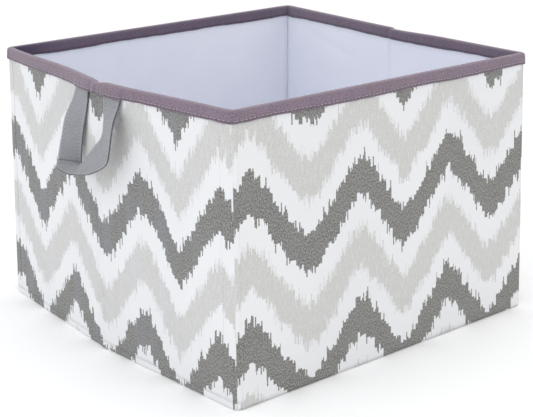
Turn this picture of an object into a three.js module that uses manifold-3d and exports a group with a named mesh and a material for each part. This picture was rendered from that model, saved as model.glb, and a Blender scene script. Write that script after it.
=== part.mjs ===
// A collapsible fabric storage bin with an open top. Millimetres, +Z up, the front wall faces -Y and the
// left side wall faces -X. The origin is the centre of the floor's underside.
// Each wall is a sandwich of printed cloth, stiff board and lining under a bound rim. Each side wall is two
// halves that meet on an upright fold line, so that the sides can fold inwards and the back can come forward.
import * as THREE from 'three';
import Module from 'manifold-3d';

const wasm = await Module();
wasm.setup();

// Overall size, over the printed cloth
const WIDTH = 355;
const DEPTH = 350;
const HEIGHT = 250;
const GAP = 0.3;

// Layers of a wall, from the outside in
const PRINT_T = 1.2;
const BOARD_T = 2.2;
const LINING_T = 1.0;
const WALL_T = PRINT_T + GAP + BOARD_T + GAP + LINING_T;

// Binding tape folded over the rim
const TAPE_T = 1.0;
const TAPE_DROP = 10.5;
const TAPE_OUT = GAP + TAPE_T;
const WALL_TOP = HEIGHT - TAPE_OUT;
const BOARD_INSET = 2.5;

// Floor: a shallow cloth tray under the walls, with the loose base in it
const TRAY_T = 1.2;
const TRAY_RIM = 6;
const WALL_FOOT = TRAY_RIM + GAP;
const BASE_X = 340;
const BASE_Y = 335;
const BASE_BOARD_T = 2.4;
const BASE_CLOTH_T = 1.0;

// The left side bellies outwards at its fold line, the right side stands straight
const LEFT_BELLY = 18;
const RIGHT_BELLY = 0;

// Where the side walls start and end: just inside the front and back rims
const SIDE_RUN = DEPTH / 2 - WALL_T - TAPE_OUT;
const FOLD_GAP = 0.3;

// Carrying strap: one loop on each side, sewn in under the rim binding on both sides of the fold line. It hangs
// from its near end, turns over at its foot and comes back up flat on the wall.
const STRAP_T = 2;
const STRAP_TOP = HEIGHT - TAPE_DROP - GAP - 0.3;
// Pairs of points on the strap's inner and outer edge, from a sewn end to the foot:
// [distance out from the wall, distance behind the fold line, drop below the sewn end]
const STRAP_NEAR = [
  [[1.4, -25, 0], [1.4, -48, 0]],
  [[2, -25.5, 12], [6.5, -49, 9]],
  [[5, -29, 21], [12.5, -52, 16]],
  [[9, -32, 29.5], [16.5, -53.5, 27]],
  [[11.5, -31, 35], [18.5, -53, 39]],
  [[12.5, -25, 41], [20.5, -49.5, 52]],
  [[11.5, -12, 52], [24, -33.5, 61.5]],
  [[9.5, -1, 59.5], [25.2, -19, 65.5]],
];
const STRAP_FAR = [
  [[1.4, -0.5, 0], [1.4, 23.5, 0]],
  [[1.8, 2, 13], [4.5, 26.5, 11]],
  [[3, 6.5, 29], [10.5, 31, 27]],
  [[4, 11.5, 48], [14.5, 35, 47]],
  [[4.5, 14.5, 65], [17, 37, 64]],
  [[4.5, 14, 67], [27, 20, 67.5]],
  [[6, 11, 66], [26.5, 0.5, 68.5]],
];
// Where the two halves meet, on the fold line
const STRAP_MEET = [[8, 7, 64.8], [25.2, -7, 67.7]];

const COLOURS = {
  print: 0xc9c9cc, board: 0xb59a72, lining: 0xe3e5ee, binding: 0x8c8594, tray: 0xb9b9bd,
  base: 0xa88f6a, strap: 0x85828c,
};

const bin = new THREE.Group();
bin.name = 'fabric_storage_bin';

function add(name, geometry, colour, roughness = 0.9) {
  const mesh = new THREE.Mesh(geometry, new THREE.MeshStandardMaterial({ color: colour, roughness }));
  mesh.name = name;
  bin.add(mesh);
}

// A box between two corners
function box(low, high) {
  const size = high.map((h, i) => h - low[i]);
  const geometry = new THREE.BoxGeometry(...size);
  return geometry.translate(...low.map((l, i) => l + size[i] / 2));
}

function toSolid(geometry) {
  const position = geometry.getAttribute('position');
  const index = geometry.getIndex();
  const found = new Map();
  const vertices = [];
  const renumbered = [];
  for (let i = 0; i < position.count; i += 1) {
    const point = [position.getX(i), position.getY(i), position.getZ(i)];
    const key = point.map((v) => v.toFixed(5)).join(',');
    if (!found.has(key)) {
      found.set(key, vertices.length / 3);
      vertices.push(...point);
    }
    renumbered.push(found.get(key));
  }
  const triangles = Array.from(index.array, (i) => renumbered[i]);
  const mesh = new wasm.Mesh({
    numProp: 3, vertProperties: new Float32Array(vertices), triVerts: new Uint32Array(triangles),
  });
  return new wasm.Manifold(mesh);
}

function toGeometry(solid) {
  const mesh = solid.getMesh();
  const geometry = new THREE.BufferGeometry();
  geometry.setAttribute('position', new THREE.BufferAttribute(new Float32Array(mesh.vertProperties), 3));
  geometry.setIndex(new THREE.BufferAttribute(new Uint32Array(mesh.triVerts), 1));
  return geometry;
}

function cut(geometry, tool) {
  return toGeometry(toSolid(geometry).subtract(toSolid(tool)));
}

// Moves a side wall's points outwards by its belly, which grows from nothing at the corner to full at the fold
function belly(geometry, side, amount) {
  const position = geometry.getAttribute('position');
  for (let i = 0; i < position.count; i += 1) {
    const share = 1 - Math.min(1, Math.abs(position.getY(i)) / SIDE_RUN);
    position.setX(i, position.getX(i) + side * amount * share);
  }
  return geometry;
}

// Front and back walls run the full width and close the corners
function endWall(name, facing) {
  const outer = (facing * DEPTH) / 2;
  const slab = (from, to, half, low, high) => {
    const a = outer - facing * from;
    const b = outer - facing * to;
    return box([-half, Math.min(a, b), low], [half, Math.max(a, b), high]);
  };
  const half = WIDTH / 2;
  const inside = half - PRINT_T;
  add(`${name}_print`, cut(slab(0, WALL_T, half, WALL_FOOT, WALL_TOP),
    slab(PRINT_T, WALL_T + GAP, inside, 0, HEIGHT)), COLOURS.print);
  const boardOut = PRINT_T + GAP;
  const boardIn = boardOut + BOARD_T;
  add(`${name}_board`, slab(boardOut, boardIn, inside - GAP, WALL_FOOT + BOARD_INSET, WALL_TOP - BOARD_INSET),
    COLOURS.board);
  add(`${name}_lining`, slab(boardIn + GAP, WALL_T, inside - GAP, WALL_FOOT, WALL_TOP), COLOURS.lining);
  add(`${name}_binding`, cut(
    slab(-TAPE_OUT, WALL_T + TAPE_OUT, half + TAPE_OUT, HEIGHT - TAPE_DROP, HEIGHT),
    slab(-GAP, WALL_T + GAP, half + GAP, 0, HEIGHT - TAPE_T)), COLOURS.binding);
}

// Half of a side wall. side is -1 for left and 1 for right, end is -1 for the half next to the front wall
// and 1 for the half next to the back wall
function sideWall(name, side, end, amount) {
  const outer = (side * WIDTH) / 2;
  const near = FOLD_GAP / 2;
  const far = SIDE_RUN - FOLD_GAP;
  const slab = (from, to, low, high, trim = 0) => {
    const a = outer - side * from;
    const b = outer - side * to;
    const c = end * (near + trim);
    const d = end * (far - trim);
    return box([Math.min(a, b), Math.min(c, d), low], [Math.max(a, b), Math.max(c, d), high]);
  };
  const place = (geometry) => belly(geometry, side, amount);
  add(`${name}_print`, place(slab(0, PRINT_T, WALL_FOOT, WALL_TOP)), COLOURS.print);
  const boardOut = PRINT_T + GAP;
  const boardIn = boardOut + BOARD_T;
  add(`${name}_board`, place(slab(boardOut, boardIn, WALL_FOOT + BOARD_INSET, WALL_TOP - BOARD_INSET,
    BOARD_INSET)), COLOURS.board);
  add(`${name}_lining`, place(slab(boardIn + GAP, WALL_T, WALL_FOOT, WALL_TOP)), COLOURS.lining);
  add(`${name}_binding`, place(cut(
    slab(-TAPE_OUT, WALL_T + TAPE_OUT, HEIGHT - TAPE_DROP, HEIGHT),
    slab(-GAP, WALL_T + GAP, 0, HEIGHT - TAPE_T, -TAPE_T))), COLOURS.binding);
}

// The floor's outline at a given distance inside its outer edge, with the left edge following the belly
function floorOutline(inset) {
  const x = WIDTH / 2 - inset;
  const y = DEPTH / 2 - inset;
  const outline = new THREE.Shape();
  outline.moveTo(x, -y);
  outline.lineTo(x, y);
  outline.lineTo(-x, y);
  outline.lineTo(-x, Math.min(y, SIDE_RUN));
  outline.lineTo(-x - LEFT_BELLY, 0);
  outline.lineTo(-x, -Math.min(y, SIDE_RUN));
  outline.lineTo(-x, -y);
  outline.closePath();
  return outline;
}

function slice(outline, low, high) {
  return new THREE.ExtrudeGeometry(outline, { depth: high - low, bevelEnabled: false }).translate(0, 0, low);
}

function indexed(geometry) {
  if (geometry.getIndex()) return geometry;
  const count = geometry.getAttribute('position').count;
  geometry.setIndex(Array.from({ length: count }, (_, i) => i));
  return geometry;
}

function floor() {
  add('floor_tray', cut(indexed(slice(floorOutline(0), 0, TRAY_RIM)),
    indexed(slice(floorOutline(WALL_T), TRAY_T, TRAY_RIM + GAP))), COLOURS.tray);
  const board = TRAY_T + GAP;
  const boardTop = board + BASE_BOARD_T;
  const clothTop = boardTop + GAP + BASE_CLOTH_T;
  const x = BASE_X / 2;
  const y = BASE_Y / 2;
  const edge = BASE_CLOTH_T + GAP;
  add('base_board', box([-x + edge, -y + edge, board], [x - edge, y - edge, boardTop]), COLOURS.base);
  add('base_cloth', cut(box([-x, -y, board], [x, y, clothTop]),
    box([-x + BASE_CLOTH_T, -y + BASE_CLOTH_T, 0], [x - BASE_CLOTH_T, y - BASE_CLOTH_T, boardTop + GAP])),
  COLOURS.lining);
}

// Half of a carrying loop, from its sewn end down to where the halves meet: a flat strap ruled between its edges
function strapHalf(name, side, end, amount) {
  const stations = [...(end < 0 ? STRAP_NEAR : STRAP_FAR), STRAP_MEET];
  const last = stations.length - 1;
  const edges = stations.map((pair, i) => pair.map(([out, behind, drop]) => new THREE.Vector3(
    side * (WIDTH / 2 + out), behind + (i === last ? (end * GAP) / 2 : 0), STRAP_TOP - drop)));
  const rings = edges.map(([inner, outer], i) => {
    const before = edges[Math.max(0, i - 1)];
    const after = edges[Math.min(last, i + 1)];
    const along = after[0].clone().add(after[1]).sub(before[0]).sub(before[1]);
    const through = along.cross(outer.clone().sub(inner)).setLength(STRAP_T / 2);
    return [outer.clone().add(through), outer.clone().sub(through), inner.clone().sub(through),
      inner.clone().add(through)];
  });
  const corners = rings.flat();
  const faces = [];
  for (let i = 0; i < last; i += 1) {
    for (let j = 0; j < 4; j += 1) {
      const a = i * 4 + j;
      const b = i * 4 + ((j + 1) % 4);
      faces.push(a, b, b + 4, a, b + 4, a + 4);
    }
  }
  const foot = corners.length - 4;
  faces.push(0, 2, 1, 0, 3, 2, foot, foot + 1, foot + 2, foot, foot + 2, foot + 3);
  const geometry = new THREE.BufferGeometry();
  geometry.setAttribute('position', new THREE.Float32BufferAttribute(corners.flatMap((c) => c.toArray()), 3));
  geometry.setIndex(facesOut(corners, faces));
  add(name, belly(geometry, side, amount), COLOURS.strap);
}

// Turns every face round if the body came out inside out
function facesOut(points, faces) {
  let volume = 0;
  for (let i = 0; i < faces.length; i += 3) {
    const [a, b, c] = [points[faces[i]], points[faces[i + 1]], points[faces[i + 2]]];
    volume += a.dot(new THREE.Vector3().crossVectors(b, c));
  }
  return volume > 0 ? faces : faces.reverse();
}

endWall('front', -1);
endWall('back', 1);
for (const [name, side, amount] of [['left', -1, LEFT_BELLY], ['right', 1, RIGHT_BELLY]]) {
  for (const [half, end] of [['near', -1], ['far', 1]]) {
    sideWall(`${name}_${half}`, side, end, amount);
    strapHalf(`${name}_strap_${half}`, side, end, amount);
  }
}
floor();

export default bin;
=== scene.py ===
"""Looks of the fabric storage bin: printed walls, bound rim, lining, webbing handles and the loose base."""
import math

import bpy
from mathutils import Matrix, Vector, noise


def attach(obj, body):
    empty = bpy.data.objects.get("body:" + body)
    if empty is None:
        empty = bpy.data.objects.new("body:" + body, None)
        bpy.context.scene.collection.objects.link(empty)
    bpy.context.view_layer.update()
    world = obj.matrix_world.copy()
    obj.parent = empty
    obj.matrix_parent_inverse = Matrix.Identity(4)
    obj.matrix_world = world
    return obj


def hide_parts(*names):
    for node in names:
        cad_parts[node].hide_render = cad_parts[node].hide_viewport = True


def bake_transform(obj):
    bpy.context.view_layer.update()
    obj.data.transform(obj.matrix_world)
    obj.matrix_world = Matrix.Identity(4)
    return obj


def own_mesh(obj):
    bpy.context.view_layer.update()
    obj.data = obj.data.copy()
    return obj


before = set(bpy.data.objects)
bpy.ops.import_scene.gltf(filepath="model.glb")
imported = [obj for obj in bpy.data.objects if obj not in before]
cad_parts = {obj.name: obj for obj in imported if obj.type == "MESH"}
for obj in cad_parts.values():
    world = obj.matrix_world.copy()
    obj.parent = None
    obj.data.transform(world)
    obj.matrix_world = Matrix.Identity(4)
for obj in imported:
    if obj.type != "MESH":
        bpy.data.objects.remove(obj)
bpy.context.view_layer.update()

# The CAD's driving dimensions, in metres
MM = 0.001
WIDTH, DEPTH, HEIGHT = 0.355, 0.350, 0.250
HALF_W, HALF_D = WIDTH / 2, DEPTH / 2
PRINT_T, LINING_T, WALL_T = 1.2 * MM, 1.0 * MM, 5.0 * MM
TAPE_T, TAPE_OUT, TAPE_DROP = 1.0 * MM, 1.3 * MM, 10.5 * MM
WALL_FOOT, WALL_TOP = 6.3 * MM, 0.2455
TRAY_SEAM, TRAY_T, CLOTH_FOOT = 6.27 * MM, 1.2 * MM, 5.6 * MM
RUN = HALF_D - WALL_T - TAPE_OUT
PIVOT_X, PIVOT_Y = HALF_W - WALL_T - TAPE_OUT, RUN
CORNER_END = PIVOT_Y - 7.5 * MM  # where the cloth round a corner meets the side's cloth
STRAP_TOP = HEIGHT - TAPE_DROP - 0.6 * MM
LAP, TUCK = 0.5 * MM, 0.12 * MM  # how far a wall's cloth and tape run on under a corner's, and how far under


# ---------------------------------------------------------------- shapes

def smooth(x):
    """0 up to 0, 1 from 1 on, and a soft rise between."""
    x = min(1.0, max(0.0, x))
    return x * x * (3 - 2 * x)


def bump(x, centre, width):
    """A rounded ridge, 1 high at its centre."""
    return math.exp(-(((x - centre) / width) ** 2))


def wobble(a, b, seed, scale):
    """Soft unevenness between about -1 and 1, with ups and downs about scale wide."""
    return noise.noise(Vector((a / scale + 31.7 * seed, b / scale - 17.3 * seed, 5.1 * seed)))


# how far each upright corner stands from its nominal place at the foot and at the rim, in millimetres
CORNERS = {
    (-1, -1): ((0.6, -2.7, 0.0), (0.3, 0.4, 1.2)),
    (1, -1): ((1.9, -2.5, 0.0), (-4.0, 4.8, -0.3)),
    (-1, 1): ((-2.5, 2.6, 0.0), (2.1, -1.5, -1.7)),
    (1, 1): ((0.5, 0.5, 0.0), (1.6, -1.3, 0.5)),
}


def settle(x, y, z):
    """The bin isn't perfectly square: its corners lean a little."""
    fx = min(1, max(0, (x + HALF_W) / WIDTH))
    fy = min(1, max(0, (y + HALF_D) / DEPTH))
    fz = min(1, max(0, z / HEIGHT))
    move = [0.0, 0.0, 0.0]
    for (cx, cy), (low, high) in CORNERS.items():
        share = (fx if cx > 0 else 1 - fx) * (fy if cy > 0 else 1 - fy)
        for k in range(3):
            move[k] += share * ((1 - fz) * low[k] + fz * high[k]) * MM
    return Vector((x + move[0], y + move[1], z + move[2]))


def left_fold(z):
    """The left wall's fold line leans towards the front at the rim."""
    return -11 * MM * smooth(z / HEIGHT)


def left_belly(y, z):
    """How far the left wall stands out from a flat one."""
    fold = left_fold(z)
    reach = RUN + fold if y < fold else RUN - fold
    r = min(1.0, abs(y - fold) / reach)
    # two straight halves, a little rounded where they meet
    shape = 1 - math.sqrt(r * r + 0.0006) + 0.0245 * r
    amount = (11.5 + 6.5 * smooth(z / HEIGHT)) * MM
    # the near half is a little full, the far half a little hollow
    warp = 1.8 * bump(y, -0.055, 0.040) - 2.6 * bump(y, 0.062, 0.040)
    return amount * shape + warp * (z / HEIGHT) * MM


def right_belly(y, z):
    """The same for the right wall, which sinks inwards at its middle, most of all at the rim."""
    r = min(1.0, abs(y + 0.004) / RUN)
    top = smooth((z - 0.02) / 0.22)
    return -(4.2 * top * (1 - r) + 1.0 * (1 - r * r)) * MM


def slack(side, s, z):
    """The wall's own slow unevenness."""
    return 0.35 * wobble(s, z, {"front": 1, "left": 2, "back": 3, "right": 4}[side], 0.06) * MM


def relief(side, s, z):
    """The printed cloth's ridges and wrinkles."""
    out = 0.0
    if side == "left":
        ridge = s - left_fold(z)
        out += (1.2 * bump(ridge, 0, 0.0018) - 0.9 * bump(ridge, 0.0045, 0.0028)) * MM
        # puckers between the handle's ends, and pulls that run down from its near end
        rim = smooth((z - 0.19) / 0.05)
        out += 0.5 * rim * math.sin(s / 0.0019) * bump(s, -0.012, 0.008) * MM
        for k in range(4):
            line = s + 0.057 + 0.0085 * k - 0.45 * (z - 0.237)
            out += 1.0 * bump(line, 0, 0.0022) * smooth((z - 0.155) / 0.03) * smooth((0.236 - z) / 0.012) * MM
    if side == "right":
        out += 1.1 * bump(s, 0, 0.0024) * MM
        # a slack wrinkle that runs down from the back corner
        fall = (0.146 - s) / 0.073
        line = z - 0.231 + 0.019 * fall
        out += 0.9 * bump(line, 0, 0.0045) * smooth(fall + 0.4) * smooth((1.4 - fall) / 0.5) * MM
    if side == "back":
        # pleats beside the right corner
        for k, place in enumerate((0.1615, 0.154, 0.1465)):
            out += (0.8 - 0.2 * k) * bump(s, place, 0.0022) * smooth((z - 0.08) / 0.12) * MM
    return out


def wall(side, s, z, o, fine=None):
    """A point of a wall: s along it, z up, o inwards from the printed face. The left lining shows less of the
    relief than the printed cloth, and the boards, with fine=0, none."""
    inner = smooth((o - PRINT_T) / (WALL_T - LINING_T - PRINT_T))
    if fine is None:
        fine = 1 - 0.4 * inner if side == "left" else 1
        if side in ("left", "right"):
            # the side's lining sinks in along the fold line, below the tape
            sink = 2.3 if side == "left" else 1.3
            below_tape = smooth((HEIGHT - 11 * MM - z) / (6 * MM))
            o -= sink * inner * smooth((3.2 * MM - abs(s)) / (2.6 * MM)) * below_tape * MM
    out = slack(side, s, z) + fine * relief(side, s, z)
    if side == "front":
        return settle(s, -HALF_D + o - out, z)
    if side == "back":
        return settle(s, HALF_D - o + out, z)
    if side == "left":
        return settle(-HALF_W - left_belly(s, z) + o - out, s, z)
    return settle(HALF_W + right_belly(s, z) - o + out, s, z)


def corner(cx, cy, t, z, o):
    """A point of the cloth round a corner. t runs from 0 on the end wall, round the pivot, to 1 where the
    side's cloth starts."""
    bend = 0.55  # the share of it that turns; the rest runs on along the side
    radius = max(0.15 * MM, WALL_T + TAPE_OUT - o)
    if t < bend:
        angle = t / bend * math.pi / 2
        x = PIVOT_X + radius * math.sin(angle)
        y = PIVOT_Y + radius * math.cos(angle)
    else:
        x = PIVOT_X + radius
        y = PIVOT_Y - (t - bend) / (1 - bend) * (PIVOT_Y - CORNER_END)
        fade = (t - bend) / (1 - bend)
        x += 0.3 * math.sin(2.5 * math.pi * fade) ** 2 * smooth((HEIGHT - z) / (15 * MM)) * MM
        if cx < 0:
            x += fade * (left_belly(CORNER_END, z) + slack("left", cy * CORNER_END, z))
        else:
            x += fade * (right_belly(cy * CORNER_END, z) + slack("right", cy * CORNER_END, z))
    if t < bend:
        side = "front" if cy < 0 else "back"
        y += (1 - t / bend) * slack(side, cx * PIVOT_X, z)
    return settle(cx * x, cy * y, z)


def make(name, points, faces, uvs=None, flat_from=None):
    """A new object. Its faces are smooth, apart from those from number flat_from on."""
    mesh = bpy.data.meshes.new(name)
    mesh.from_pydata([tuple(p) for p in points], [], faces)
    if uvs:
        layer = mesh.uv_layers.new(name="cloth")
        for poly in mesh.polygons:
            for loop in poly.loop_indices:
                layer.data[loop].uv = uvs[mesh.loops[loop].vertex_index]
    for poly in mesh.polygons:
        poly.use_smooth = flat_from is None or poly.index < flat_from
    mesh.validate()
    mesh.update()
    obj = bpy.data.objects.new(name, mesh)
    bpy.context.scene.collection.objects.link(obj)
    return obj


def face_outwards(obj):
    """Turns a closed mesh's faces to look outwards."""
    at = [v.co for v in obj.data.vertices]
    volume = sum(at[p.vertices[0]].dot(at[p.vertices[k]].cross(at[p.vertices[k + 1]]))
                 for p in obj.data.polygons for k in range(1, len(p.vertices) - 1))
    if volume < 0:
        obj.data.flip_normals()
    return obj


def shell(name, outer, inner, uv):
    """A closed sheet between two grids of points."""
    nu, nv = len(outer), len(outer[0])
    points = [p for row in outer for p in row] + [p for row in inner for p in row]
    uvs = [c for row in uv for c in row] * 2
    at = lambda i, j, k: k * nu * nv + i * nv + j
    faces = []
    for i in range(nu - 1):
        for j in range(nv - 1):
            faces.append((at(i, j, 0), at(i + 1, j, 0), at(i + 1, j + 1, 0), at(i, j + 1, 0)))
    for i in range(nu - 1):
        for j in range(nv - 1):
            faces.append((at(i, j, 1), at(i, j + 1, 1), at(i + 1, j + 1, 1), at(i + 1, j, 1)))
    flat = len(faces)
    for i in range(nu - 1):
        faces.append((at(i, 0, 0), at(i, 0, 1), at(i + 1, 0, 1), at(i + 1, 0, 0)))
        faces.append((at(i, nv - 1, 0), at(i + 1, nv - 1, 0), at(i + 1, nv - 1, 1), at(i, nv - 1, 1)))
    for j in range(nv - 1):
        faces.append((at(0, j, 0), at(0, j + 1, 0), at(0, j + 1, 1), at(0, j, 1)))
        faces.append((at(nu - 1, j, 0), at(nu - 1, j, 1), at(nu - 1, j + 1, 1), at(nu - 1, j + 1, 0)))
    return face_outwards(make(name, points, faces, uvs, flat))


def spread(low, high, step):
    """Even places from low to high, about a step apart."""
    n = max(2, round(abs(high - low) / step))
    return [low + (high - low) * k / n for k in range(n + 1)]


def print_uv(side, s, z):
    """The print's own coordinates on a wall: along the cloth, and up."""
    if side == "front":
        # sewn on a little unevenly
        along = s + (1.0 + 6.0 * smooth((s - 0.035) / 0.08) - 4.4 * bump(s, -0.08, 0.025)) * MM
        rise = -4.0 * bump(s, -0.135, 0.05) + 4.2 * bump(s, 0.056, 0.025) - 3.5 * bump(s, 0.105, 0.03)
        return ((along + HALF_W) * 0.988 - 0.0167, z + rise * MM)
    if side == "left":
        # drawn forwards at the foot, and the near half's cloth eased in more than the far half's
        near = smooth((0.045 - s) / 0.03)
        past = HALF_D - (s - (1.0 + 4.0 * near) * smooth((0.15 - z) / 0.12) * MM) - 0.186
        rise = 6.8 - 2.8 * near + 7.5 * (HALF_D - s) / DEPTH
        return (past * (0.962 if past < 0 else 1.17) - 0.1741, z + rise * MM)
    if side == "back":
        return (HALF_W - s + 0.075, z + 0.004)
    return (s + HALF_D + 0.03, z - 0.006)


# the cloth round a corner as it stands, and with its small creases flattened out
CORNER_RUN, CORNER_CUT = 16.5 * MM, 18.0 * MM
PRINT_SEAM = 0.27  # how far round it the end wall's print runs on


def strip_uv(cx, cy, t, z):
    """The end wall's print runs on round part of the corner, and the side's from there."""
    if t < PRINT_SEAM:
        end = print_uv("front" if cy < 0 else "back", cx * PIVOT_X, z)
        return (end[0] - cx * cy * t * CORNER_RUN, end[1])
    near = print_uv("left" if cx < 0 else "right", cy * CORNER_END, z)
    return (near[0] + cx * cy * (1 - t) * CORNER_RUN, near[1])


# ---------------------------------------------------------------- materials

class Nodes:
    """Short-hand for building a material's nodes."""

    def __init__(self, name):
        self.material = bpy.data.materials.new(name)
        self.material.use_nodes = True
        self.tree = self.material.node_tree
        self.tree.nodes.clear()
        self.out = self.tree.nodes.new("ShaderNodeOutputMaterial")
        self.shader = self.tree.nodes.new("ShaderNodeBsdfPrincipled")
        self.tree.links.new(self.shader.outputs[0], self.out.inputs["Surface"])

    def link(self, value, socket):
        if isinstance(value, bpy.types.NodeSocket):
            self.tree.links.new(value, socket)
        else:
            socket.default_value = value

    def math(self, op, a, b=0.0, c=0.0):
        n = self.tree.nodes.new("ShaderNodeMath")
        n.operation = op
        for value, socket in zip((a, b, c), n.inputs):
            self.link(value, socket)
        return n.outputs[0]

    def mix(self, factor, a, b):
        n = self.tree.nodes.new("ShaderNodeMix")
        n.data_type = "RGBA"
        self.link(factor, n.inputs["Factor"])
        self.link(a, n.inputs[6])
        self.link(b, n.inputs[7])
        return n.outputs[2]

    def vector(self, x, y, z=0.0):
        n = self.tree.nodes.new("ShaderNodeCombineXYZ")
        for value, socket in zip((x, y, z), n.inputs):
            self.link(value, socket)
        return n.outputs[0]

    def uv(self):
        n = self.tree.nodes.new("ShaderNodeUVMap")
        n.uv_map = "cloth"
        return self.parts(n.outputs[0])[:2]

    def place(self):
        return self.tree.nodes.new("ShaderNodeTexCoord").outputs["Object"]

    def parts(self, vector):
        n = self.tree.nodes.new("ShaderNodeSeparateXYZ")
        self.link(vector, n.inputs[0])
        return n.outputs

    def noise(self, vector, scale, detail=2.0, rough=0.5):
        n = self.tree.nodes.new("ShaderNodeTexNoise")
        self.link(vector, n.inputs["Vector"])
        n.inputs["Scale"].default_value = scale
        n.inputs["Detail"].default_value = detail
        n.inputs["Roughness"].default_value = rough
        return n.outputs["Fac"]

    def white(self, x, y):
        n = self.tree.nodes.new("ShaderNodeTexWhiteNoise")
        n.noise_dimensions = "2D"
        self.link(self.vector(x, y), n.inputs["Vector"])
        return n.outputs["Value"]

    def remap(self, value, low, high, to_low=0.0, to_high=1.0):
        n = self.tree.nodes.new("ShaderNodeMapRange")
        self.link(value, n.inputs["Value"])
        n.inputs["From Min"].default_value = low
        n.inputs["From Max"].default_value = high
        n.inputs["To Min"].default_value = to_low
        n.inputs["To Max"].default_value = to_high
        return n.outputs[0]

    def curve(self, value, points):
        n = self.tree.nodes.new("ShaderNodeFloatCurve")
        line = n.mapping.curves[0]
        line.points[0].location = points[0]
        line.points[1].location = points[-1]
        for p in points[1:-1]:
            line.points.new(*p)
        for p in line.points:
            p.handle_type = "VECTOR"
        n.mapping.update()
        self.link(value, n.inputs["Value"])
        return n.outputs[0]

    def bumps(self, height, strength, distance, below=None):
        n = self.tree.nodes.new("ShaderNodeBump")
        n.inputs["Strength"].default_value = strength
        n.inputs["Distance"].default_value = distance
        self.link(height, n.inputs["Height"])
        if below is not None:
            self.tree.links.new(below, n.inputs["Normal"])
        return n.outputs[0]

    def weave(self, u, v, thread):
        """A plain weave: threads over and under, one thread wide."""
        a = self.math("SINE", self.math("MULTIPLY", u, math.pi / thread))
        b = self.math("SINE", self.math("MULTIPLY", v, math.pi / thread))
        return self.math("MULTIPLY", a, b)

    def done(self, colour, roughness, normal=None, sheen=0.0, sheen_rough=0.5):
        self.link(colour, self.shader.inputs["Base Color"])
        self.link(roughness, self.shader.inputs["Roughness"])
        self.shader.inputs["Specular IOR Level"].default_value = 0.25
        self.shader.inputs["Sheen Weight"].default_value = sheen
        self.shader.inputs["Sheen Roughness"].default_value = sheen_rough
        if normal is not None:
            self.tree.links.new(normal, self.shader.inputs["Normal"])
        return self.material


PERIOD_U = 0.231  # the zigzag repeats after a sharp and a blunt peak
PERIOD_V = 0.1262
LOW, SWING = 0.116, 0.064
ZIGZAG = [(0.0, 1.0), (0.03, 0.93), (0.225, 0.07), (0.262, 0.0), (0.30, 0.06), (0.49, 0.84), (0.525, 0.88),
          (0.56, 0.84), (0.735, 0.05), (0.753, 0.0), (0.775, 0.06), (0.97, 0.93), (1.0, 1.0)]


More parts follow.
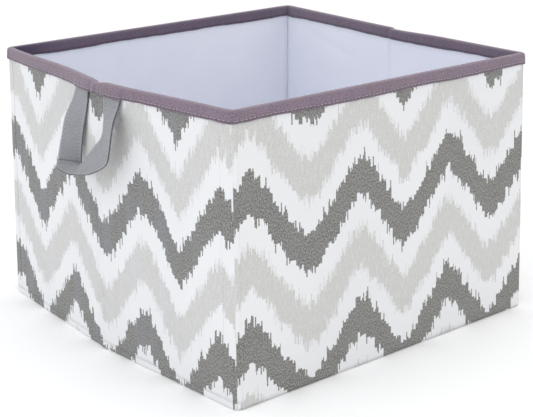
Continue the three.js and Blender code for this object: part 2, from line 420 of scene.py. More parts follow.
def print_material():
    n = Nodes("printed_cloth")
    u, v = n.uv()
    u = n.math("ADD", u, 4 * PERIOD_U)

    def band(phase_shift, half, seed, steps=(3.1 * MM, 3.6 * MM), jitter=8.5 * MM, spikes=9 * MM,
             fine=1.3 * MM):
        """1 inside a band: its ragged edges follow the zigzag in upright steps."""
        edges = []
        for k, (step, up) in enumerate(zip(steps, (1, -1))):
            column = n.math("FLOOR", n.math("DIVIDE", u, step))
            stepped = n.math("MULTIPLY", n.math("ADD", column, 0.5), step)
            turn = n.math("FRACT", n.math("DIVIDE", stepped, PERIOD_U))
            middle = n.math("MULTIPLY_ADD", n.curve(turn, ZIGZAG), SWING, LOW)
            phase = n.math("SUBTRACT", n.math("DIVIDE", n.math("SUBTRACT", v, middle), PERIOD_V), phase_shift)
            row = n.math("ROUND", phase)
            height = n.math("MULTIPLY", n.math("SUBTRACT", phase, row), PERIOD_V)
            row_seed = n.math("MULTIPLY_ADD", row, 7.31, seed + 3.7 * k)
            uneven = n.math("MULTIPLY", n.math("SUBTRACT", n.white(column, row_seed), 0.5), jitter)
            hair = n.math("FLOOR", n.math("DIVIDE", u, fine))
            spike = n.math("POWER", n.white(hair, n.math("ADD", row_seed, 1.9)), 5.0)
            reach = n.math("MULTIPLY_ADD", spike, spikes, n.math("ADD", uneven, half - spikes / 6))
            gap = n.math("SUBTRACT", reach, n.math("MULTIPLY", height, up))
            gap = n.math("MINIMUM", gap, n.math("SUBTRACT", 0.3 * PERIOD_V, n.math("ABSOLUTE", height)))
            edges.append(n.remap(gap, -0.2 * MM, 0.2 * MM))
        return n.math("MULTIPLY", edges[0], edges[1])

    dark = band(0.0, 17.6 * MM, 1.0)
    pale = band(0.5, 17.2 * MM, 40.0)
    fringe = band(0.5, 19.5 * MM, 70.0, (1.1 * MM, 1.4 * MM), 9 * MM, 7 * MM)
    place = n.place()
    slub = n.noise(n.vector(n.math("MULTIPLY", u, 1.7), v), 620, 3.0, 0.75)
    streak = n.noise(n.vector(n.math("MULTIPLY", u, 5.0), v), 120, 2.0, 0.6)
    mottle = n.noise(place, 60, 3.0, 0.6)
    cloud = n.noise(place, 9, 2.0)
    charcoal = n.mix(n.remap(slub, 0.41, 0.61), (0.072, 0.070, 0.065, 1), (0.355, 0.352, 0.338, 1))
    charcoal = n.mix(n.remap(mottle, 0.3, 0.7, 0.0, 0.22), charcoal, (0.30, 0.30, 0.29, 1))
    # painted bluish light: bluer in upright streaks, mostly on the left wall
    streaks = n.remap(n.noise(n.vector(u, n.math("MULTIPLY", v, 0.06)), 95, 2.0, 0.6), 0.45, 0.65, 0.0, 0.42)
    painted_blue_light = n.math("MULTIPLY", streaks, n.remap(u, 4 * PERIOD_U - 0.07, 4 * PERIOD_U - 0.01, 1.0, 0.15))
    charcoal = n.mix(painted_blue_light, charcoal, (0.255, 0.265, 0.315, 1))
    grey = n.mix(n.remap(slub, 0.35, 0.66), (0.485, 0.481, 0.468, 1), (0.635, 0.632, 0.620, 1))
    grey = n.mix(n.remap(streak, 0.45, 0.75, 0.0, 0.55), grey, (0.70, 0.70, 0.70, 1))
    # the same painted bluish light on the grey bands
    grey = n.mix(painted_blue_light, grey, (0.595, 0.605, 0.645, 1))
    ground = n.mix(n.remap(cloud, 0.3, 0.7), (0.748, 0.757, 0.778, 1), (0.788, 0.795, 0.812, 1))
    ground = n.mix(n.remap(slub, 0.35, 0.66, 0.0, 0.16), ground, (0.66, 0.66, 0.67, 1))
    colour = n.mix(n.math("MULTIPLY", fringe, 0.42), ground, grey)
    colour = n.mix(pale, colour, grey)
    colour = n.mix(dark, colour, charcoal)
    weave = n.weave(u, v, 0.55 * MM)
    normal = n.bumps(weave, 0.22, 0.12 * MM)
    normal = n.bumps(n.noise(place, 130, 2.0), 0.18, 0.5 * MM, normal)
    rough = n.remap(slub, 0.3, 0.7, 0.82, 0.93)
    return n.done(colour, rough, normal, 0.12, 0.6)


def lining_material():
    n = Nodes("lining_cloth")
    u, v = n.uv()
    place = n.place()
    cloud = n.noise(place, 14, 3.0)
    fibre = n.noise(n.vector(n.math("MULTIPLY", u, 3.0), v), 500, 3.0, 0.65)
    colour = n.mix(n.remap(cloud, 0.3, 0.7), (0.775, 0.795, 0.885, 1), (0.825, 0.840, 0.915, 1))
    colour = n.mix(n.remap(fibre, 0.35, 0.7, 0.0, 0.14), colour, (0.88, 0.89, 0.93, 1))
    normal = n.bumps(n.weave(u, v, 0.4 * MM), 0.12, 0.08 * MM)
    normal = n.bumps(n.noise(place, 45, 2.0), 0.15, 1.2 * MM, normal)
    return n.done(colour, n.remap(fibre, 0.3, 0.7, 0.62, 0.78), normal, 0.15, 0.45)


TAPE_ROW = 11.6 * MM  # the stitching, measured over the tape from the top of the rim
STITCH_Z = HEIGHT - TAPE_DROP + 2.2 * MM


def tape_material():
    n = Nodes("binding_tape")
    u, v = n.uv()
    place = n.place()
    heather = n.noise(n.vector(u, n.math("MULTIPLY", v, 2.0)), 560, 3.0, 0.75)
    mottle = n.noise(place, 70, 3.0, 0.6)
    colour = n.mix(n.remap(heather, 0.33, 0.68), (0.092, 0.062, 0.086, 1), (0.300, 0.232, 0.290, 1))
    colour = n.mix(n.remap(mottle, 0.3, 0.75, 0.0, 0.3), colour, (0.29, 0.235, 0.300, 1))
    # painted highlight along the fold of the rim, in patches
    fold_highlight = n.math("MULTIPLY", n.remap(n.math("ABSOLUTE", v), 0.0, 3.5 * MM, 0.24, 0.0), mottle)
    colour = n.mix(fold_highlight, colour, (0.44, 0.38, 0.45, 1))
    # painted shade: darker inside the rim, darkest in the back left corner and least along the right wall
    x, y, _ = n.parts(place)
    corner_shade = n.math("MULTIPLY", n.remap(x, -0.165, -0.115, 0.45, 0.0), n.remap(y, 0.12, 0.165))
    inside_shade = n.math("ADD", corner_shade, n.remap(x, 0.15, 0.17, 0.50, 0.30))
    colour = n.mix(n.math("MULTIPLY", n.remap(v, 0.0, 3.0 * MM), inside_shade), colour, (0.052, 0.035, 0.078, 1))
    # painted shade in the groove where the tape is drawn in along the stitching, and painted shade towards
    # the tape's cut edges
    from_row = n.math("ABSOLUTE", n.math("SUBTRACT", n.math("ABSOLUTE", v), TAPE_ROW))
    colour = n.mix(n.remap(from_row, 0.4 * MM, 1.1 * MM, 0.55, 0.0), colour, (0.060, 0.042, 0.058, 1))
    edge = n.remap(n.math("ABSOLUTE", v), TAPE_ROW + 1.0 * MM, TAPE_ROW + 2.2 * MM, 0.0, 0.45)
    colour = n.mix(edge, colour, (0.070, 0.050, 0.066, 1))
    normal = n.bumps(n.weave(u, v, 0.5 * MM), 0.35, 0.14 * MM)
    normal = n.bumps(n.noise(n.vector(u, n.math("MULTIPLY", v, 0.45)), 190, 2.0), 0.7, 0.9 * MM, normal)
    return n.done(colour, n.remap(mottle, 0.3, 0.7, 0.74, 0.88), normal, 0.25, 0.5)


CREASE_1, CREASE_2 = 121.5 * MM, 115.5 * MM  # across the strap, measured along its middle from its near end


def webbing_material():
    n = Nodes("webbing")
    u, v = n.uv()
    place = n.place()
    threads = n.noise(n.vector(n.math("MULTIPLY", u, 3.2), v), 520, 3.0, 0.7)
    mottle = n.noise(place, 55, 3.0, 0.55)
    colour = n.mix(n.remap(threads, 0.33, 0.68), (0.175, 0.178, 0.198, 1), (0.345, 0.348, 0.375, 1))
    colour = n.mix(n.remap(mottle, 0.3, 0.75, 0.0, 0.3), colour, (0.36, 0.365, 0.40, 1))
    # sewn along both edges: dark on either side of the stitches, paler in patches outside them, and painted
    # shadow along the edges
    from_middle = n.math("ABSOLUTE", u)
    from_row = n.math("ABSOLUTE", n.math("SUBTRACT", from_middle, 9.2 * MM))
    colour = n.mix(n.remap(from_row, 0.3 * MM, 0.9 * MM, 0.40, 0.0), colour, (0.09, 0.09, 0.105, 1))
    dash = n.math("GREATER_THAN", n.math("FRACT", n.math("DIVIDE", v, 3.4 * MM)), 0.32)
    stitch = n.math("MULTIPLY", dash, n.math("LESS_THAN", from_row, 0.35 * MM))
    colour = n.mix(n.math("MULTIPLY", stitch, 0.75), colour, (0.44, 0.45, 0.49, 1))
    from_edge = n.math("ABSOLUTE", n.math("SUBTRACT", from_middle, 11.2 * MM))
    pale_edging = n.remap(from_edge, 0.2 * MM, 0.8 * MM, 0.5, 0.0)
    colour = n.mix(n.math("MULTIPLY", pale_edging, mottle), colour, (0.52, 0.53, 0.57, 1))
    # painted shadow in the creases across the strap
    for place_v, width, amount in ((CREASE_1, 0.9 * MM, 0.60), (CREASE_2, 0.8 * MM, 0.30)):
        from_crease = n.math("ABSOLUTE", n.math("SUBTRACT", v, place_v))
        colour = n.mix(n.remap(from_crease, 0.2 * MM, width, amount, 0.0), colour, (0.075, 0.075, 0.10, 1))
    # painted shadow: both edges dark, as the strap's thickness in shade
    colour = n.mix(n.remap(from_middle, 12.1 * MM, 12.45 * MM, 0.0, 0.7), colour, (0.035, 0.035, 0.045, 1))
    weave = n.weave(u, v, 0.62 * MM)
    normal = n.bumps(weave, 0.4, 0.18 * MM)
    normal = n.bumps(stitch, 0.6, 0.3 * MM, normal)
    creases = n.noise(n.vector(u, n.math("MULTIPLY", v, 2.4)), 70, 3.0, 0.6)
    normal = n.bumps(creases, 0.55, 1.6 * MM, normal)
    return n.done(colour, n.remap(threads, 0.3, 0.7, 0.70, 0.86), normal, 0.2, 0.5)


def thread_material():
    n = Nodes("stitching_thread")
    place = n.place()
    fibre = n.noise(place, 2500, 2.0)
    colour = n.mix(n.remap(fibre, 0.3, 0.7), (0.33, 0.28, 0.34, 1), (0.50, 0.45, 0.52, 1))
    return n.done(colour, n.remap(fibre, 0.3, 0.7, 0.5, 0.7), n.bumps(fibre, 0.3, 0.1 * MM), 0.2)


def board_material(name, dark, light):
    n = Nodes(name)
    place = n.place()
    fibre = n.noise(place, 900, 4.0, 0.7)
    cloud = n.noise(place, 20, 3.0)
    colour = n.mix(n.remap(fibre, 0.3, 0.7), dark, light)
    colour = n.mix(n.remap(cloud, 0.3, 0.7, 0.0, 0.2), colour, (0.5, 0.4, 0.28, 1))
    return n.done(colour, n.remap(fibre, 0.3, 0.7, 0.75, 0.92), n.bumps(fibre, 0.3, 0.2 * MM))


PRINT = print_material()
LINING = lining_material()
TAPE = tape_material()
WEBBING = webbing_material()
THREAD = thread_material()
WALL_BOARD = board_material("wall_board", (0.26, 0.19, 0.12, 1), (0.40, 0.31, 0.20, 1))
BASE_BOARD = board_material("base_board", (0.23, 0.17, 0.11, 1), (0.36, 0.28, 0.19, 1))


def dress(obj, material):
    """Gives a piece its only material."""
    obj.data.materials.clear()
    obj.data.materials.append(material)
    return obj


# ---------------------------------------------------------------- walls

# The bodies that each wall is on, and half its length between the corners' cloth
SIDES = {
    "front": (["front"], PIVOT_X), "back": (["back"], PIVOT_X),
    "left": (["left_near", "left_far"], CORNER_END), "right": (["right_near", "right_far"], CORNER_END),
}


def follow(obj, side):
    """A front or back piece rides on its wall. A side's piece covers both halves and is baked where it
    stands.
    """
    if side in ("front", "back"):
        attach(obj, side)
    else:
        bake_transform(obj)


def panel(name, side, start, end, out_from, out_to, low, high, step=4 * MM, lap=False, fine=None):
    """A wall's sheet from start to end along it, between two depths from its printed face."""
    along = spread(start, end, step)
    if side in ("left", "right") and start < 0 < end:
        # finer beside the fold line, from where it leans to at the rim
        along = sorted(set(along) | {k * 1.2 * MM for k in range(-14, 8)})
    if lap:
        along = [start - LAP] + along + [end + LAP]
    up = spread(low, high, step)
    outer = [[wall(side, s, z, out_from + (0 if start <= s <= end else TUCK), fine) for z in up]
             for s in along]
    inner = [[wall(side, s, z, out_to, fine) for z in up] for s in along]
    uv = [[print_uv(side, s, z) for z in up] for s in along]
    return shell(name, outer, inner, uv)


RIM_RISE, RIM_ROUND = 3.0 * MM, 0.72  # the tape's rounded top: its height, and how round (1 is an ellipse)


def tape_profile(lift):
    """Round the rim: (depth from the printed face, height) of the tape's outside and of its inside."""
    low = HEIGHT - TAPE_DROP - lift
    side_o, side_i = -TAPE_OUT, WALL_T + TAPE_OUT
    mid, half = (side_o + side_i) / 2, (side_i - side_o) / 2
    spring = HEIGHT - RIM_RISE
    outside, inside = [], []
    legs = [low + (spring - low) * k / 5 for k in range(6)]
    for z in legs:
        outside.append((side_o, z))
        inside.append((side_o + TAPE_T, z))
    for k in range(1, 8):
        a = math.pi * k / 8
        across = math.copysign(abs(math.cos(a)) ** RIM_ROUND, math.cos(a))
        rise = math.sin(a) ** RIM_ROUND
        outside.append((mid - half * across, spring + RIM_RISE * rise))
        inside.append((mid - (half - TAPE_T) * across, spring + (RIM_RISE - TAPE_T) * rise))
    for z in reversed(legs):
        outside.append((side_i, z))
        inside.append((side_i - TAPE_T, z))
    return outside, inside


def pucker(side, s, z, depth):
    """The tape's small ripples, largest at its free edges."""
    seed = {"front": 11, "left": 12, "back": 13, "right": 14}[side]
    free = smooth((HEIGHT - 2 * MM - z) / (9 * MM))
    ripple = 0.75 * wobble(s, 0.0, seed, 0.011) + 0.55 * wobble(s, z, seed + 20, 0.004)
    out = free * abs(ripple) * MM
    return -out if depth < WALL_T / 2 else out


def tape_lift(side, s):
    """How much lower than nominal the tape's edges run, as it isn't sewn on quite straight."""
    seed = {"front": 21, "left": 22, "back": 23, "right": 24}[side]
    return (1.3 * wobble(s, 0.0, seed, 0.06) + 0.55 * wobble(s, 0.0, seed + 9, 0.014)) * MM


def strap_swell(side, s, z):
    """The tape stands out over the handle's sewn ends."""
    if side not in ("left", "right"):
        return 0.0
    over = max(smooth((18 * MM - abs(s - centre)) / (6 * MM)) for centre in (11.5 * MM, -36.5 * MM))
    between = 0.6 * smooth((26 * MM - abs(s + 12.5 * MM)) / (6 * MM))
    over = max(over, between)
    return over * 2.1 * MM * smooth((HEIGHT - 1.5 * MM - z) / (3.5 * MM))


def run_profile(side, s, tuck=0.0):
    """The tape's outside and inside across the rim at s, as points of the wall."""
    outside, inside = tape_profile(tape_lift(side, s))
    outside = [(o + (tuck if o < WALL_T / 2 else -tuck), z - tuck * (z > HEIGHT - RIM_RISE))
               for o, z in outside]
    # the rim dips where the side folds
    notch = 0.0
    if side == "right":
        notch = 1.3 * smooth((0.001 - s) / 0.003) * smooth((s + 0.07) / 0.06) * MM
    if side == "left":
        notch = 1.6 * bump(s, -0.011, 0.008) * MM

    def put(o, z):
        drop = notch * smooth((z - HEIGHT + TAPE_DROP) / (10 * MM))
        depth = o + pucker(side, s, z, o)
        if o < WALL_T / 2:
            depth -= strap_swell(side, s, z)
        return wall(side, s, z - drop, depth)
    return [put(*p) for p in outside], [put(*p) for p in inside]


def tape_v(profile):
    """Distance over the tape from the top of the rim."""
    total, out = 0.0, [0.0]
    for (a, b), (c, d) in zip(profile, profile[1:]):
        total += math.hypot(c - a, d - b)
        out.append(total)
    return [t - total / 2 for t in out]


TAPE_V = tape_v(tape_profile(0.0)[0])


def tape(name, side, half):
    """The tape along one wall."""
    outer, inner, uv = [], [], []
    for s in [-half - LAP] + spread(-half, half, 2.4 * MM) + [half + LAP]:
        outside, inside = run_profile(side, s, TUCK if abs(s) > half else 0.0)
        outer.append(outside)
        inner.append(inside)
        uv.append([(s, v) for v in TAPE_V])
    return shell(name, outer, inner, uv)


def tape_corner(name, cx, cy):
    """The tape round one corner."""
    outer, inner, uv = [], [], []
    end_side = "front" if cy < 0 else "back"
    side = "left" if cx < 0 else "right"
    for t in spread(0.0, 1.0, 0.025):
        lift = (1 - t) * tape_lift(end_side, cx * PIVOT_X) + t * tape_lift(side, cy * CORNER_END)
        outside, inside = tape_profile(lift)

        def put(o, z):
            # gathered where it turns the corner
            gather = 0.35 * math.sin(11 * math.pi * t) ** 2 * math.sin(math.pi * t) * MM
            shift = gather * (1 if o > WALL_T / 2 else -1)
            shift += ((1 - t) * pucker(end_side, cx * PIVOT_X, z, o)
                      + t * pucker(side, cy * CORNER_END, z, o))
            return corner(cx, cy, t, z, o + shift)
        outer.append([put(*p) for p in outside])
        inner.append([put(*p) for p in inside])
        uv.append([(0.4 + t * CORNER_CUT, v) for v in TAPE_V])
    return shell(name, outer, inner, uv)


def corner_follow(obj, cx, cy):
    """Cloth round the back right corner rides on the back wall; the others' are baked where they stand."""
    if (cx, cy) == (1, 1):
        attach(obj, "back")
        return
    x = cx * HALF_W
    near, far = (x, cy * (PIVOT_Y + 5.5 * MM), 0.1), (x, cy * (CORNER_END + 0.8 * MM), 0.1)
    if cy < 0:
        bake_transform(obj)
        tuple(near)
        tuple(far)
    else:
        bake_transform(obj)
        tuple(far)
        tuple(near)


def stitches(name, at, along, pitch=4.2 * MM, length=3.0 * MM, radius=0.32 * MM):
    """A row of short raised stitches; at(s) gives a point on the tape's face and its outward direction."""
    points, faces = [], []
    s = along[0] + pitch / 2
    while s + length < along[1]:
        a, out = at(s)
        b, _ = at(s + length)
        line = b - a
        up = out.cross(line).normalized()
        base = len(points)
        rings = ((0.0, 0.15), (0.12, 0.75), (0.5, 1.0), (0.88, 0.75), (1.0, 0.15))
        for share, size in rings:
            centre = a + line * share + out * (0.15 * MM * size)
            for k in range(6):
                turn = math.tau * k / 6
                points.append(centre + (out * math.cos(turn) + up * math.sin(turn)) * radius * size)
        for r in range(len(rings) - 1):
            for k in range(6):
                p, q = base + r * 6 + k, base + r * 6 + (k + 1) % 6
                faces.append((p, q, q + 6, p + 6))
        faces.append(tuple(base + k for k in reversed(range(6))))
        faces.append(tuple(base + (len(rings) - 1) * 6 + k for k in range(6)))
        s += pitch
    return make(name, points, faces)


def corner_face(cx, cy, z):
    """The tape's face round a corner; s runs along it from the end wall."""
    def at(s):
        t = s / CORNER_RUN
        side, end_side = "left" if cx < 0 else "right", "front" if cy < 0 else "back"
        lift = (1 - t) * tape_lift(end_side, cx * PIVOT_X) + t * tape_lift(side, cy * CORNER_END)
        here = corner(cx, cy, t, z - lift, -TAPE_OUT - 0.15 * MM)
        out = here - corner(cx, cy, t, z - lift, TAPE_OUT)
        return here, out.normalized()
    return at


def tape_face(side, z):
    """The tape's outer face along a wall."""
    def at(s):
        lift = tape_lift(side, s)

        def point(s, z):
            depth = -TAPE_OUT + pucker(side, s, z, -TAPE_OUT)
            depth -= strap_swell(side, s, z)
            return wall(side, s, z - lift, depth)
        here = point(s, z)
        along = point(s + 0.5 * MM, z) - here
        rise = point(s, z + 0.5 * MM) - here
        out = along.cross(rise).normalized()
        return here, out if out.dot(here - Vector((0, 0, z))) >= 0 else -out
    return at


for side, (bodies, half) in SIDES.items():
    replaced = lambda kind: [f"{b}_{kind}" for b in bodies]
    inner_half = RUN + 1.5 * MM if side in ("left", "right") else HALF_W - PRINT_T - 0.6 * MM
    boards = [f"{b}_stiff_board" for b in bodies]
    for body in bodies:
        near, far = {"near": (-half + 0.5 * MM, -3 * MM), "far": (3 * MM, half - 0.5 * MM)}.get(
            body.split("_")[-1], (-inner_half + MM, inner_half - MM))
        board = panel(f"{body}_stiff_board", side, near, far,
                      PRINT_T + 0.3 * MM, WALL_T - LINING_T - 0.3 * MM,
                      WALL_FOOT + 2.5 * MM, WALL_TOP - 0.5 * MM, 8 * MM, fine=0)
        dress(board, WALL_BOARD)
        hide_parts(f"{body}_board")
        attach(board, body)
    # the front's cloth covers the tray's edge; the others', which pass over it in a fold, only lap it
    foot = 0.4 * MM if side == "front" else CLOTH_FOOT
    cloth = dress(panel(f"{side}_printed_cloth", side, -half, half, 0.0, PRINT_T, foot, WALL_TOP, lap=True),
                  PRINT)
    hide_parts(*replaced("print"))
    follow(cloth, side)
    inside = panel(f"{side}_lining_cloth", side, -inner_half, inner_half, WALL_T - LINING_T, WALL_T,
                   WALL_FOOT, WALL_TOP - 1 * MM)
    dress(inside, LINING)
    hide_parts(*replaced("lining"))
    follow(inside, side)
    rim = dress(tape(f"{side}_rim_tape", side, half), TAPE)
    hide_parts(*replaced("binding"))
    follow(rim, side)
    row = stitches(f"{side}_rim_stitches", tape_face(side, STITCH_Z), (-half, half))
    dress(row, THREAD)
    follow(row, side)

for cx, cy in CORNERS:
    label = f"{'front' if cy < 0 else 'back'}_{'left' if cx < 0 else 'right'}"
    up = spread(CLOTH_FOOT, WALL_TOP, 5 * MM)
    turns = sorted(spread(0.0, 1.0, 0.05) + [PRINT_SEAM - 0.01, PRINT_SEAM + 0.01])
    grid = lambda o: [[corner(cx, cy, t, z, o) for z in up] for t in turns]
    strip = shell(f"{label}_corner_cloth", grid(0.0), grid(PRINT_T),
                  [[strip_uv(cx, cy, t, z) for z in up] for t in turns])
    dress(strip, PRINT)
    corner_follow(strip, cx, cy)
    rim = dress(tape_corner(f"{label}_corner_tape", cx, cy), TAPE)
    corner_follow(rim, cx, cy)
    row = stitches(f"{label}_corner_stitches", corner_face(cx, cy, STITCH_Z),
                   (-1.5 * MM, CORNER_RUN + 1.5 * MM))
    dress(row, THREAD)
    corner_follow(row, cx, cy)

# ---------------------------------------------------------------- floor

PLAIN_SPOT = (0.0, LOW + SWING - PERIOD_V / 4)  # a place between two bands of the print


def tray():
    """The floor cloth, turned up all round: printed outside, plain inside."""
    ring = []
    turns = spread(0, 1, 0.125)
    for side, end, cx, cy in (("front", PIVOT_X, 1, -1), ("right", CORNER_END, 1, 1),
                              ("back", -PIVOT_X, -1, 1), ("left", -CORNER_END, -1, -1)):
        ring += [("wall", side, s) for s in spread(-end, end, 8 * MM)[:-1]]
        ring += [("corner", cx, cy, t) for t in (turns[:-1] if cx * cy < 0 else reversed(turns[1:]))]

    def at(spot, z, o):
        if spot[0] == "wall":
            tucked = max(o, PRINT_T + 0.15 * MM) if spot[1] == "front" else o
            return wall(spot[1], spot[2], z, tucked)
        return corner(spot[1], spot[2], spot[3], z, o)

    def uv_at(spot, z, inside):
        if inside:
            return PLAIN_SPOT
        if spot[0] == "wall":
            return print_uv(spot[1], spot[2], z)
        return strip_uv(spot[1], spot[2], spot[3], z)
    # (height, depth from the printed face), from the underside's edge up the outside, over the rim and down
    # to the floor inside
    levels = [(0.0, 2.2 * MM), (0.0, 0.3 * MM), (1.2 * MM, 0.0), (3.5 * MM, 0.0), (5.3 * MM, 0.0),
              (CLOTH_FOOT, TUCK), (TRAY_SEAM, TUCK), (TRAY_SEAM, WALL_T),
              (TRAY_T + 0.2 * MM, WALL_T), (TRAY_T, WALL_T + 0.4 * MM)]
    points, uvs = [], []
    for z, o in levels:
        for spot in ring:
            p = at(spot, z, min(o, WALL_T + TAPE_OUT - 0.2 * MM) if spot[0] == "corner" else o)
            points.append(Vector((p.x, p.y, max(0.0, p.z))))
            uvs.append(uv_at(spot, z, o >= WALL_T))
    n = len(ring)
    faces = []
    for r in range(len(levels) - 1):
        for k in range(n):
            a, b = r * n + k, r * n + (k + 1) % n
            faces.append((a, b, b + n, a + n))
    faces.append(tuple(reversed(range(n))))
    faces.append(tuple((len(levels) - 1) * n + k for k in range(n)))
    obj = make("floor_cloth", points, faces, uvs)
    obj.data.set_sharp_from_angle(angle=math.radians(50))
    return face_outwards(obj)


floor_cloth = dress(tray(), PRINT)
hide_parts("floor_tray")
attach(floor_cloth, "front")
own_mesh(floor_cloth)


BASE_X, BASE_Y = 0.1695, 0.167  # half the covered base
BASE_LOW, BASE_TOP = 1.5 * MM, 5.0 * MM
COVER_T = 0.8 * MM


def base_cover():
    """The cloth over the loose base, turned down all round, slightly puffed and pulled at its edges."""
    def face(inset):
        x1, y1 = BASE_X - inset, BASE_Y - inset
        xs, ys = ([-reach] + spread(-reach, reach, reach / 24) + [reach] for reach in (x1, y1))

        def height(i, j):
            if i in (0, len(xs) - 1) or j in (0, len(ys) - 1):
                return BASE_LOW
            x, y = xs[i], ys[j]
            pulled = smooth(1 - (x1 - abs(x)) / (5 * MM)) + smooth(1 - (y1 - abs(y)) / (5 * MM))
            return BASE_TOP - inset + (0.18 * wobble(x, y, 9, 0.045) - 0.35 * pulled) * MM
        return [[Vector((x, y, height(i, j))) for j, y in enumerate(ys)] for i, x in enumerate(xs)]
    top = face(0.0)
    return shell("base_cover_cloth", top, face(COVER_T), [[(p.x, p.y) for p in row] for row in top])


def base_board():
    """The board in it, a little bowed."""
    x1, y1 = BASE_X - 1.6 * MM, BASE_Y - 1.6 * MM
    xs, ys = spread(-x1, x1, 12 * MM), spread(-y1, y1, 12 * MM)
    bow = lambda x, y: (0.12 + 0.1 * wobble(x, y, 8, 0.1)) * MM
    grid = lambda z: [[Vector((x, y, z + bow(x, y))) for y in ys] for x in xs]
    return shell("base_stiff_board", grid(BASE_LOW + 1.6 * MM), grid(BASE_LOW),
                 [[(x, y) for y in ys] for x in xs])


board = dress(base_board(), BASE_BOARD)
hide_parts("base_board")
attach(board, "base")
cover = dress(base_cover(), LINING)
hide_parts("base_cloth")
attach(cover, "base")

# ---------------------------------------------------------------- handles

# Pairs of points on a strap's inner and outer edge, from its near sewn end round to its far one. Each is
# (out from the wall, behind the fold line, drop below the sewn end), in millimetres.
# The halves meet at STRAP_MEET.
STRAP_NEAR = [
    ((1.4, -25, 0), (1.4, -48, 0)), ((2, -25.5, 12), (6.5, -49, 9)), ((5, -29, 21), (12.5, -52, 16)),
    ((9, -32, 29.5), (16.5, -53.5, 27)), ((11.5, -31, 35), (18.5, -53, 39)),
    ((12.5, -25, 41), (20.5, -49.5, 52)), ((11.5, -12, 52), (24, -33.5, 61.5)),
    ((9.5, -1, 59.5), (25.2, -19, 65.5))]
STRAP_MEET = [((8, 7, 64.8), (25.2, -7, 67.7))]
STRAP_FAR = [
    ((6, 11, 66), (26.5, 0.5, 68.5)), ((4.5, 14, 67), (27, 20, 67.5)), ((4.5, 14.5, 65), (17, 37, 64)),
    ((4, 11.5, 48), (14.5, 35, 47)), ((3, 6.5, 29), (10.5, 31, 27)), ((1.8, 2, 13), (4.5, 26.5, 11)),
    ((1.4, -0.5, 0), (1.4, 23.5, 0))]
STRAP_LOOP = [inner + outer for inner, outer in STRAP_NEAR + STRAP_MEET + STRAP_FAR]
STRAP_T, WEBBING_W = 1.7 * MM, 25 * MM
STRAP_STEPS = 12  # rows between two stations
ACROSS = (-1, -0.95, -0.82, -0.5, -0.17, 0.17, 0.5, 0.82, 0.95, 1)


def catmull(points, i, f):
    """A point on the smooth curve through the points, a fraction f of the way from number i to the next."""
    p = [points[max(0, min(len(points) - 1, k))] for k in (i - 1, i, i + 1, i + 2)]
    return [0.5 * (2 * b + (c - a) * f + (2 * a - 5 * b + 4 * c - d) * f * f
                   + (3 * b - a - 3 * c + d) * f ** 3) for a, b, c, d in zip(*p)]


def off_wall(side, out, y, z):
    """A point a distance out from a side wall's printed face."""
    if side == "left":
        return settle(-HALF_W - left_belly(y, z) - out, y, z)
    return settle(HALF_W + right_belly(y, z) + out, y, z)


def strap_rows(side):
    """The whole loop as rows: (inner edge, outer edge)."""
    rows = []
    for i in range(len(STRAP_LOOP) - 1):
        for k in range(STRAP_STEPS):
            rows.append(catmull(STRAP_LOOP, i, k / STRAP_STEPS))
    rows.append(list(STRAP_LOOP[-1]))
    return [tuple(off_wall(side, e[0] * MM, e[1] * MM, STRAP_TOP - e[2] * MM) for e in (row[:3], row[3:]))
            for row in rows]


def strap_crease(total, w):
    """The far leg is creased where it turns into the bow, and again in the bow over part of its width."""
    first = bump(total, CREASE_1, 0.9 * MM)
    second = 0.6 * bump(total, CREASE_2, 1.1 * MM) * smooth((0.9 - abs(w - 0.1)) / 0.5)
    return -1.1 * (first + second) * MM


def ribbon(name, rows, start=0.0):
    """A flat strap of webbing through rows of edge points, its selvedges a little thinner."""
    outer, inner, uv = [], [], []
    middle = [(a + b) / 2 for a, b in rows]
    total = start
    for k, (a, b) in enumerate(rows):
        if k:
            total += (middle[k] - middle[k - 1]).length
        along = middle[min(len(rows) - 1, k + 1)] - middle[max(0, k - 1)]
        through = along.cross(b - a).normalized()
        a_row, b_row, uv_row = [], [], []
        for w in ACROSS:
            thick = STRAP_T / 2 * (0.6 if abs(w) == 1 else 1)
            curl = (0.6 * w * w * wobble(total, w, 33, 0.02) + 0.3 * wobble(total, 3 * w, 35, 0.006)) * MM
            curl += strap_crease(total, w)
            p = middle[k] + (b - a) * (w / 2) + through * curl
            a_row.append(p + through * thick)
            b_row.append(p - through * thick)
            uv_row.append((w * WEBBING_W / 2, total))
        outer.append(a_row)
        inner.append(b_row)
        uv.append(uv_row)
    return shell(name, outer, inner, uv)


def strap_root(side, half):
    """The strap's sewn end: up under the rim tape, and down behind the start of the loop."""
    first, second = (STRAP_NEAR[0], STRAP_NEAR[1]) if half == "near" else (STRAP_FAR[-1], STRAP_FAR[-2])
    rows = []
    for drop in (-5.5, -4, -2.5, -1, 0, 1.5, 3, 4.5, 6):
        row = []
        for (_, y, _), (out_below, y_below, drop_below) in zip(first, second):
            share = max(0.0, drop) / drop_below
            out = 1.08 + 0.35 * smooth((drop + 3) / 3) + share * (out_below - 1.8)
            row.append(off_wall(side, out * MM, (y + share * (y_below - y)) * MM, STRAP_TOP - drop * MM))
        rows.append(tuple(row))
    return ribbon(f"{side}_strap_{half}_root", rows)


for side in ("left", "right"):
    loop_rows = strap_rows(side)
    meet = STRAP_STEPS * len(STRAP_NEAR)
    start = 0.0
    for half, rows in (("near", loop_rows[:meet + 1]), ("far", loop_rows[meet:])):
        body = f"{side}_handle_{half}"
        loop = dress(ribbon(f"{side}_strap_{half}_webbing", rows, start), WEBBING)
        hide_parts(f"{side}_strap_{half}")
        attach(loop, body)
        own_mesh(loop)
        root = dress(strap_root(side, half), WEBBING)
        middle = [(a + b) / 2 for a, b in rows]
        length = sum((b - a).length for a, b in zip(middle, middle[1:]))
        start += length
        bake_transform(root)

# ---------------------------------------------------------------- studio

scene = bpy.context.scene
camera_data = bpy.data.cameras.new("camera")
camera = bpy.data.objects.new("camera", camera_data)
scene.collection.objects.link(camera)
scene.camera = camera
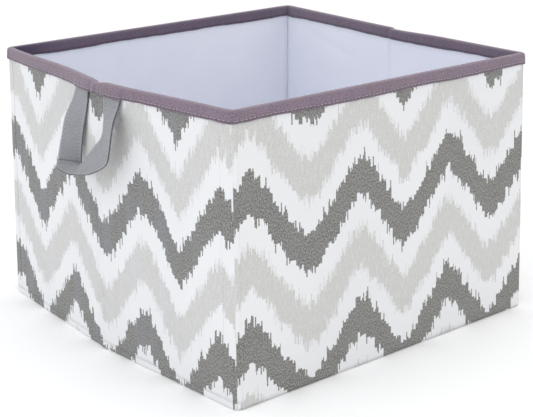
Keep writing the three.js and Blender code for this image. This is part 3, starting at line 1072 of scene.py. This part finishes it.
# The camera stands to the left of the bin's front, above its rim. Its directions are right, down and ahead.
stands = Vector((-0.77519, -0.93701, 0.49223))
right = Vector((0.7688696, -0.6393978, -0.0031552))
down = Vector((-0.2019916, -0.2382051, -0.9499777))
ahead = Vector((0.6066621, 0.7310463, -0.3123017))
camera.matrix_world = Matrix((
    (right.x, -down.x, -ahead.x, stands.x), (right.y, -down.y, -ahead.y, stands.y),
    (right.z, -down.z, -ahead.z, stands.z), (0, 0, 0, 1)))
camera_data.sensor_width = 36
camera_data.lens = 88.7006
camera_data.clip_end = 50


def softbox(name, at, towards, size, power, colour=(1, 1, 1)):
    """A rectangular light that faces the point it is pointed towards."""
    data = bpy.data.lights.new(name, "AREA")
    data.shape = "RECTANGLE"
    data.size, data.size_y = size
    data.energy = power
    data.color = colour
    light = bpy.data.objects.new(name, data)
    scene.collection.objects.link(light)
    light.location = at
    light.rotation_euler = (Vector(towards) - Vector(at)).to_track_quat("-Z", "Y").to_euler()


softbox("key", (-1.6, -0.1, 1.2), (-0.05, 0, 0.12), (1.4, 1.4), 4.6, (0.84, 0.92, 1.0))
softbox("fill", (0.7, -1.8, 1.0), (0, 0, 0.12), (1.6, 1.2), 1.5, (1.0, 0.99, 0.97))
softbox("top", (0.1, 0.3, 1.9), (0, 0, 0.1), (1.6, 1.6), 4)

world = bpy.data.worlds.new("studio")
world.use_nodes = True
world.node_tree.nodes["Background"].inputs["Color"].default_value = (1.0, 1.0, 1.0, 1)
world.node_tree.nodes["Background"].inputs["Strength"].default_value = 1.0
scene.world = world
scene.view_settings.view_transform = "Standard"

floor_mesh = bpy.data.meshes.new("studio_floor")
floor_mesh.from_pydata([(-4, -4, 0), (4, -4, 0), (4, 4, 0), (-4, 4, 0)], [], [(0, 1, 2, 3)])
floor = bpy.data.objects.new("studio_floor", floor_mesh)
scene.collection.objects.link(floor)
floor.location.z = -0.0005
pale = Nodes("studio_floor")
patches = pale.remap(pale.noise(pale.place(), 3, 2), 0.3, 0.7)
colour = pale.mix(patches, (0.985, 0.985, 0.985, 1), (0.992, 0.992, 0.992, 1))
floor_mesh.materials.append(pale.done(colour, 0.9))
